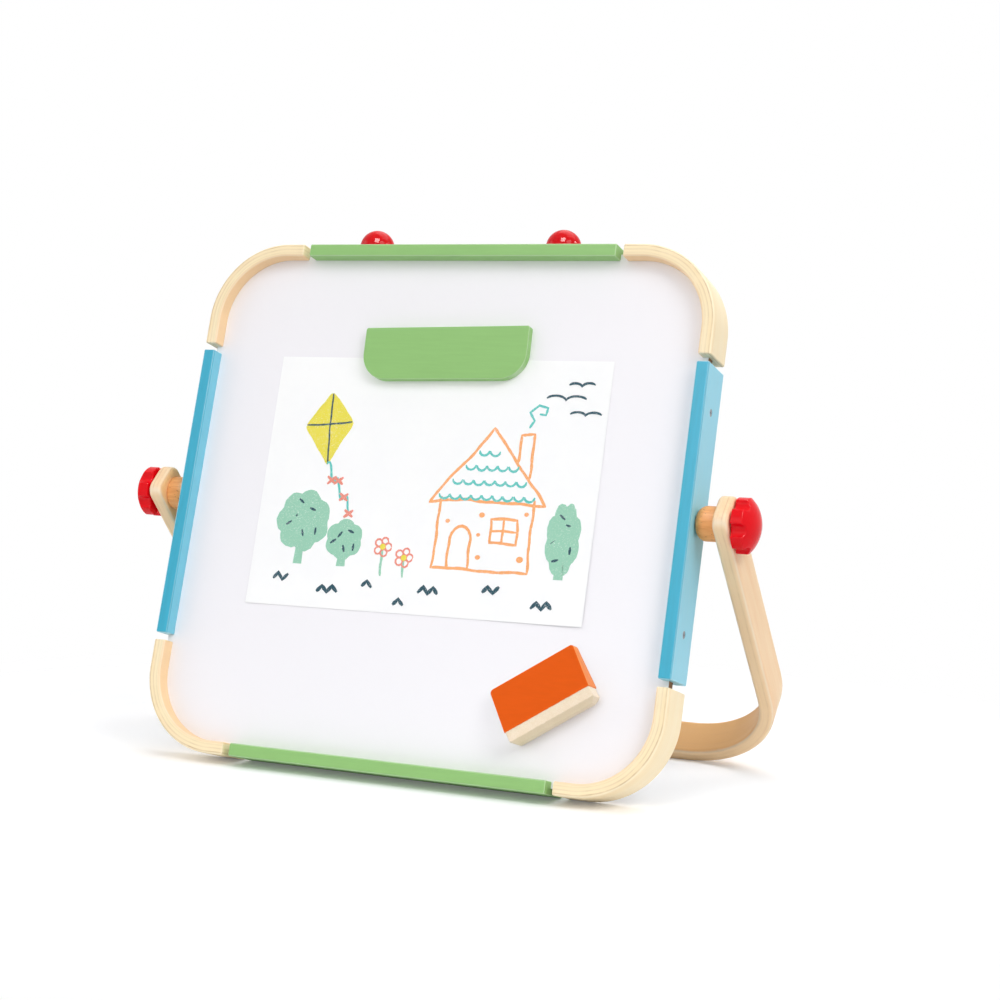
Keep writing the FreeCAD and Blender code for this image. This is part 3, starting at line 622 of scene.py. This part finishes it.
# House with a scalloped roof
orange.line([(16, -8), (15, -66), (97, -67), (96, -9)])
orange.line([(5, -13), (55, 48), (106, -13)])
orange.line([(5, -13), (40, -10), (75, -12), (106, -13)])
orange.line([(28, -66), (28, -42), *oval(37, -42, 18, 20, 180, 0, 8), (46, -66)])
orange.line([(62, -44), (85, -44), (84, -25), (62, -25), (62, -44)])
orange.line([(73, -44), (73, -25)], 2.0)
orange.line([(62, -34), (85, -35)], 2.0)
orange.line([(78, 21), (78, 44), (90, 44), (89, 8)])
for z, start, count in ((-6, 16, 9), (6, 26, 7), (18, 36, 5), (30, 46, 2)):
    for index in range(count):
        teal.line(oval(start + 9.2 * index + 2, z, 8.6, 8.0, 180, 360, 6), 2.0, 0.2)
teal.line([(84, 50), (88, 56), (83, 62), (90, 68), (97, 66), (96, 60), (91, 61)], 2.0, 0.4)
for x, z, size in ((53, -22, 5), (24, -28, 4), (90, -56, 6), (54, -56, 4.5), (52, -38, 3.5), (91, -20, 4)):
    orange.blob(oval(x, z, size, size * 0.85, steps=11)[:-1])

# Trees and flowers
for x, z, width, height, lobes in ((-106, -34, 44, 46, 7), (-66, -48, 30, 30, 6), (124, -38, 26, 52, 8)):
    mint.blob([(x - 4, -70), (x + 4, -70), (x + 3, z - height * 0.3), (x - 3, z - height * 0.3)])
    mint.blob(lumpy(x, z, width, height, lobes, 0.14))
    ticks(navy, x, z, width, height, max(5, lobes), 6.0, 2.2)
for x, z in ((-30, -52), (-10, -60)):
    mint.line([(x + 1, -76), (x, z)], 2.0, 0.4)
    for petal in range(5):
        angle = math.tau * petal / 5
        coral.line(oval(x + 5 * math.cos(angle), z + 5 * math.sin(angle), 6, 6, steps=9), 1.6, 0.2)
    yellow.blob(oval(x, z, 5, 5, steps=11)[:-1])

# Kite with its tail, birds and tufts of grass
kite = [(-96, 74), (-74, 50), (-92, 14), (-116, 46)]
yellow.blob(kite[::-1])
for start, end in zip(kite, kite[1:] + kite[:1]):
    yellow.line([start, end], 2.6, 0.4)
navy.line([kite[0], kite[2]], 1.6, 0.3)
navy.line([kite[1], kite[3]], 1.6, 0.3)
tail = [(-92 + 1.1 * step, 14 - 1.5 * step + 5 * math.sin(step * 0.7)) for step in range(26)]
teal.line(tail, 2.0, 0.3)
for step in (6, 12, 18, 24):
    x, z = tail[step]
    coral.line([(x - 4, z + 3), (x + 4, z - 3)], 2.6, 0.2)
    coral.line([(x - 4, z - 3), (x + 4, z + 3)], 2.6, 0.2)
for x, z, size in ((112, 72, 9), (130, 60, 7), (124, 84, 6)):
    left_wing = oval(x - size, z, 2 * size, size, 150, 10, 7)
    right_wing = oval(x + size, z, 2 * size, size, 170, 30, 7)
    navy.line(left_wing + right_wing[1:], 2.0, 0.2)
TUFTS = ((-126, -82, 4), (-84, -90, 5), (-44, -84, 3), (6, -86, 5), (62, -82, 4), (104, -92, 5),
         (-14, -97, 3))
for x, z, count in TUFTS:
    tuft = [(x + 4.5 * step, z + (3.5 if step % 2 else -1.5)) for step in range(count)]
    navy.line(tuft, 3.2, 0.3)

for pen in (orange, teal, mint, navy, yellow, coral):
    pen.finish()


# Felt edge of the eraser: the solid's shape with soft corners and a hairy surface

FELT_CELL = 0.7 * MM
FELT_HAIR = 0.16 * MM
FELT_SOFTENING = 4

# Scales of the hairs and of the clumps that they lie in, and the clumps' share
HAIR_SCALE = 900
CLUMP_SCALE = 260
CLUMP_SHARE = 0.6


def wool_felt():
    solid = frame["nodes"]["eraser_felt"]
    felt = bpy.data.objects.new("felt_edge", solid.data.copy())
    bpy.context.scene.collection.objects.link(felt)
    remesh = felt.modifiers.new("cells", "REMESH")
    remesh.mode = "VOXEL"
    remesh.voxel_size = FELT_CELL
    smooth = felt.modifiers.new("soften", "SMOOTH")
    smooth.iterations = FELT_SOFTENING
    shape = bpy.data.meshes.new_from_object(felt.evaluated_get(bpy.context.evaluated_depsgraph_get()))
    felt.modifiers.clear()
    felt.data = shape
    for vertex in shape.vertices:
        hair = noise.noise(vertex.co * HAIR_SCALE) + CLUMP_SHARE * noise.noise(vertex.co * CLUMP_SCALE)
        vertex.co += vertex.normal * hair * FELT_HAIR
    for face in shape.polygons:
        face.use_smooth = True
    shape.materials.clear()
    shape.materials.append(felt_cloth("wool_felt"))
    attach(felt, "eraser")
    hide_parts("eraser_felt")


wool_felt()


# Camera: place and aim relative to the pivot, in metres, as fitted to the photograph's frame edges

CAMERA_OFFSET = Vector((0.69224, -1.41019, 0.08472))
CAMERA_FORWARD = Vector((-0.408181, 0.911591, -0.04888))
CAMERA_ROLL = math.radians(1.951)
PHOTO_SIDE = 1000
PHOTO_FOCUS = 1963.12
SENSOR = 36.0

camera_data = bpy.data.cameras.new("photo_camera")
camera_data.sensor_width = SENSOR
camera_data.lens = SENSOR * PHOTO_FOCUS / PHOTO_SIDE
camera = bpy.data.objects.new("photo_camera", camera_data)
bpy.context.scene.collection.objects.link(camera)
aim = CAMERA_FORWARD.to_track_quat("-Z", "Y").to_matrix().to_4x4()
camera.matrix_world = Matrix.Translation(PIVOT + CAMERA_OFFSET) @ aim @ Matrix.Rotation(CAMERA_ROLL, 4, "Z")
bpy.context.scene.camera = camera


# Floor, world and lights

# Floor's radius, where it starts and ends fading, and the light added to it in the picture
FLOOR_RADIUS = 0.75
FLOOR_CLEAR = 0.36
FLOOR_END = FLOOR_RADIUS * 0.95
FLOOR_LIFT = 0.12

# Half the band of heights over which the light from below turns into the light from above
HORIZON = 0.2


def white_floor():
    """A white disc that keeps the object's shadow near the middle and fades out into the white world."""
    mesh = bpy.data.meshes.new("floor")
    shape = bmesh.new()
    bmesh.ops.create_circle(shape, cap_ends=True, segments=96, radius=FLOOR_RADIUS)
    shape.to_mesh(mesh)
    shape.free()
    floor = bpy.data.objects.new("floor", mesh)
    bpy.context.scene.collection.objects.link(floor)
    made = Shader("white_floor", Roughness=0.9, Specular_IOR_Level=0.0)
    local = made.local()
    spread = made.noise(local, 6.0, 2.0)
    made.colour(made.mix(made.remap(spread, 0.3, 0.7), tint(247, 248, 251), tint(250, 251, 253)))
    rays = made.node("LightPath").outputs
    seen = made.maths("MAXIMUM", rays["Is Camera Ray"], made.maths("MAXIMUM", rays["Is Glossy Ray"],
                                                                   rays["Is Transmission Ray"]))
    made.put(made.surface.inputs["Emission Color"], (1.0, 1.0, 1.0, 1.0))
    made.put(made.surface.inputs["Emission Strength"], made.maths("MULTIPLY", seen, FLOOR_LIFT))
    clear = made.node("BsdfTransparent").outputs[0]
    distance = made.node("VectorMath", {0: local}, operation="LENGTH").outputs["Value"]
    fade = made.node("MixShader", {0: made.remap(distance, FLOOR_CLEAR, FLOOR_END)})
    made.tree.links.new(made.surface.outputs[0], fade.inputs[1])
    made.tree.links.new(clear, fade.inputs[2])
    made.tree.links.new(fade.outputs[0], made.tree.nodes["Material Output"].inputs["Surface"])
    mesh.materials.append(made.material)
    return floor


white_floor()


def light_world(above, below):
    """White light, one strength from above the horizon and one from below, plain white behind the object."""
    world = bpy.data.worlds.new("studio")
    world.use_nodes = True
    nodes = world.node_tree.nodes
    links = world.node_tree.links
    soft = nodes["Background"]
    soft.inputs["Color"].default_value = (1.0, 1.0, 1.0, 1.0)
    height = nodes.new("ShaderNodeSeparateXYZ")
    links.new(nodes.new("ShaderNodeTexCoord").outputs["Generated"], height.inputs[0])
    level = nodes.new("ShaderNodeMapRange")
    ranges = {"From Min": -HORIZON, "From Max": HORIZON, "To Min": below, "To Max": above}
    for socket, value in ranges.items():
        level.inputs[socket].default_value = value
    links.new(height.outputs["Z"], level.inputs["Value"])
    links.new(level.outputs[0], soft.inputs["Strength"])
    backdrop = nodes.new("ShaderNodeBackground")
    backdrop.inputs["Color"].default_value = (1.0, 1.0, 1.0, 1.0)
    rays = nodes.new("ShaderNodeLightPath")
    mixed = nodes.new("ShaderNodeMixShader")
    seen = nodes.new("ShaderNodeMath")
    seen.operation = "MAXIMUM"
    through = nodes.new("ShaderNodeMath")
    through.operation = "MAXIMUM"
    links.new(rays.outputs["Is Glossy Ray"], through.inputs[0])
    links.new(rays.outputs["Is Transmission Ray"], through.inputs[1])
    links.new(rays.outputs["Is Camera Ray"], seen.inputs[0])
    links.new(through.outputs[0], seen.inputs[1])
    links.new(seen.outputs[0], mixed.inputs[0])
    links.new(soft.outputs[0], mixed.inputs[1])
    links.new(backdrop.outputs[0], mixed.inputs[2])
    links.new(mixed.outputs[0], nodes["World Output"].inputs["Surface"])
    bpy.context.scene.world = world


def softbox(name, spot, target, size, power):
    lamp = bpy.data.lights.new(name, "AREA")
    lamp.shape = "RECTANGLE"
    lamp.size, lamp.size_y = size
    lamp.energy = power
    box = bpy.data.objects.new(name, lamp)
    bpy.context.scene.collection.objects.link(box)
    way = Vector(target) - Vector(spot)
    box.matrix_world = Matrix.Translation(Vector(spot)) @ way.to_track_quat("-Z", "Y").to_matrix().to_4x4()
    box.visible_camera = False
    return box


MIDDLE = (0.0, -0.05, 0.2)
light_world(0.52, 0.54)
softbox("key_right", (1.9, -1.1, 1.8), MIDDLE, (1.2, 1.2), 24.5)
softbox("front_fill", (-0.3, -2.2, 1.1), MIDDLE, (1.4, 1.0), 5.0)
softbox("high_front", (0.3, -1.3, 2.2), MIDDLE, (1.2, 1.2), 6.0)
softbox("left_fill", (-2.0, -0.8, 1.0), MIDDLE, (1.2, 1.2), 8.5)
softbox("top_back", (0.3, 0.7, 1.9), MIDDLE, (2.0, 1.2), 15.0)

# Boxes that show in the gloss alone
sparkle = softbox("sparkle", (0.4, -1.2, 1.9), MIDDLE, (0.9, 0.9), 80.0)
glint = softbox("glint", (1.6, 0.6, 1.3), MIDDLE, (0.5, 0.1), 6.0)
for gloss_only in (sparkle, glint):
    gloss_only.visible_diffuse = False

# The orange block throws no coloured glow on the white board
frame["nodes"]["eraser_block"].visible_diffuse = False

bpy.context.scene.view_settings.view_transform = "Standard"
